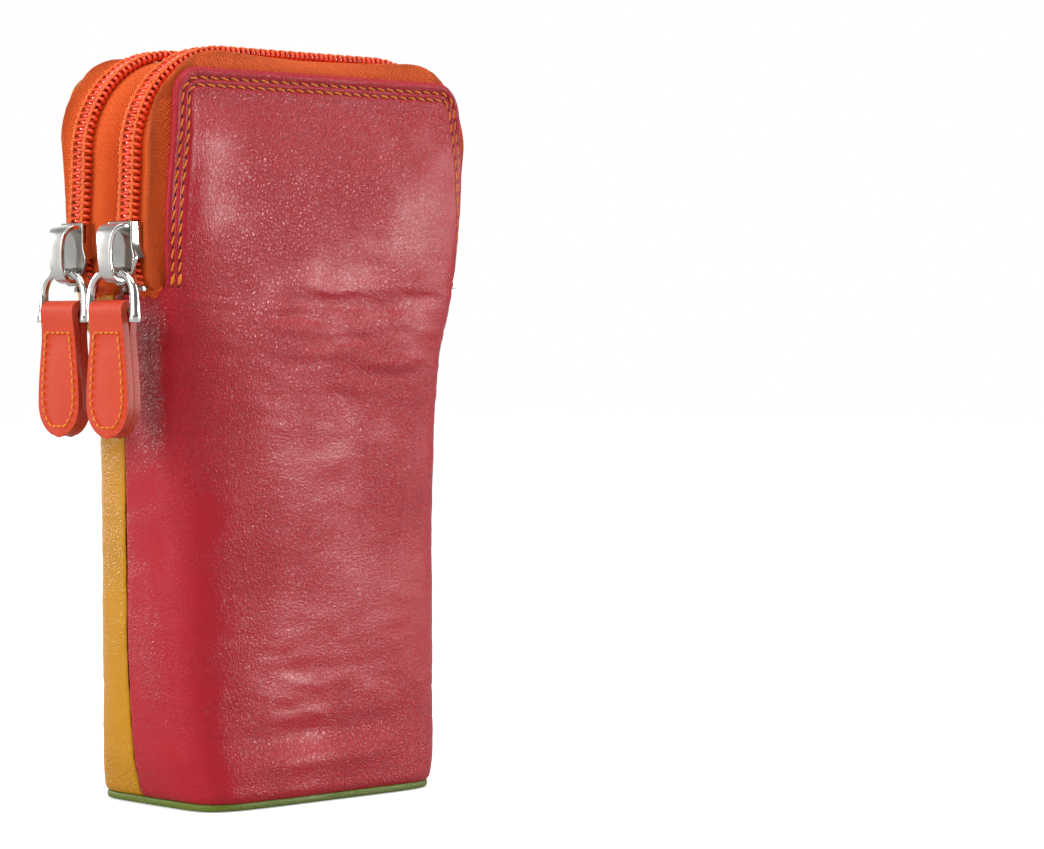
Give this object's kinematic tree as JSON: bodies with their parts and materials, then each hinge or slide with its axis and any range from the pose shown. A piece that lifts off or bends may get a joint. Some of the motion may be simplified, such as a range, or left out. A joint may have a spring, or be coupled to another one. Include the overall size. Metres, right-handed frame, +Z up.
{
  "type": "double glasses case",
  "caption": "Upright leather glasses case with front and back zipped pockets, hinged upper flaps, zip sliders, swinging rings and folded leather pull tabs.",
  "frame": {"origin": "centre of the base's underside, where the case stands", "axes": "+Z up along the case, front panel faces -Y, zip pulls on the -X side"},
  "size_m": [0.105, 0.0444, 0.1757],
  "materials": {
    "pink_leather": "fine grained, soft sheen",
    "yellow_leather": "fine grained, soft sheen",
    "green_leather": "fine grained",
    "orange_leather": "smooth, matt",
    "orange_tape": "woven",
    "red_coil": "glossy nylon",
    "chrome": "polished",
    "lining": "woven",
    "board": "stiff fibre board",
    "orange_thread": "waxed thread",
    "brown_thread": "waxed thread"
  },
  "bodies": {
    "case": {"base_panel": "green_leather", "base_board": "board", "divider": "lining", "front_panel": "pink_leather", "front_pocket_lining": "lining", "front_inner_tape": "orange_tape", "front_inner_coil": "red_coil", "front_inner_top_stop": "chrome", "front_outer_top_stop": "chrome", "front_retainer_box": "chrome", "back_panel": "yellow_leather", "back_pocket_lining": "lining", "back_inner_tape": "orange_tape", "back_inner_coil": "red_coil", "back_inner_top_stop": "chrome", "back_outer_top_stop": "chrome", "back_retainer_box": "chrome"},
    "front_flap": {"front_flap": "pink_leather", "front_flap_lining": "lining", "front_edge_seam": "orange_thread", "front_hem_seam": "orange_thread", "front_outer_tape": "orange_tape", "front_outer_coil": "red_coil"},
    "front_slider": {"front_slider_body": "chrome", "front_slider_crown": "chrome"},
    "front_pull_ring": {"front_pull_ring": "chrome", "front_pull_pin": "chrome"},
    "front_pull_tab": {"front_pull_tab": "orange_leather"},
    "back_flap": {"back_flap": "yellow_leather", "back_flap_lining": "lining", "back_edge_seam": "brown_thread", "back_hem_seam": "brown_thread", "back_outer_tape": "orange_tape", "back_outer_coil": "red_coil"},
    "back_slider": {"back_slider_body": "chrome", "back_slider_crown": "chrome"},
    "back_pull_ring": {"back_pull_ring": "chrome", "back_pull_pin": "chrome"},
    "back_pull_tab": {"back_pull_tab": "orange_leather"}
  },
  "joints": [
    {"name": "front_flap_fold", "type": "hinge", "parent": "case", "child": "front_flap", "pos_m": [0, -0.02215, 0.12815], "axis": [1, 0, 0], "range_deg": [0, 75], "deforming": ["front_outer_tape", "front_outer_coil", "front_inner_tape", "front_inner_coil"]},
    {"name": "front_slider_run", "type": "slide", "parent": "case", "child": "front_slider", "axis": [0, 0, 1], "range_m": [0, 0.015], "deforming": ["front_outer_tape", "front_outer_coil", "front_inner_tape", "front_inner_coil"]},
    {"name": "front_ring_swing", "type": "hinge", "parent": "front_slider", "child": "front_pull_ring", "pos_m": [-0.0528, -0.0092, 0.12325], "axis": [0, 1, 0], "range_deg": [-3, 120]},
    {"name": "front_tab_swing", "type": "hinge", "parent": "front_pull_ring", "child": "front_pull_tab", "pos_m": [-0.0528, -0.0092, 0.11435], "axis": [0, -1, 0], "range_deg": [-120, 10]},
    {"name": "back_flap_fold", "type": "hinge", "parent": "case", "child": "back_flap", "pos_m": [0, 0.02215, 0.12815], "axis": [-1, 0, 0], "range_deg": [0, 75], "deforming": ["back_outer_tape", "back_outer_coil", "back_inner_tape", "back_inner_coil"]},
    {"name": "back_slider_run", "type": "slide", "parent": "case", "child": "back_slider", "axis": [0, 0, 1], "range_m": [0, 0.015], "deforming": ["back_outer_tape", "back_outer_coil", "back_inner_tape", "back_inner_coil"]},
    {"name": "back_ring_swing", "type": "hinge", "parent": "back_slider", "child": "back_pull_ring", "pos_m": [-0.0528, 0.0092, 0.12325], "axis": [0, 1, 0], "range_deg": [-3, 120]},
    {"name": "back_tab_swing", "type": "hinge", "parent": "back_pull_ring", "child": "back_pull_tab", "pos_m": [-0.0528, 0.0092, 0.11435], "axis": [0, -1, 0], "range_deg": [-120, 10]}
  ]
}
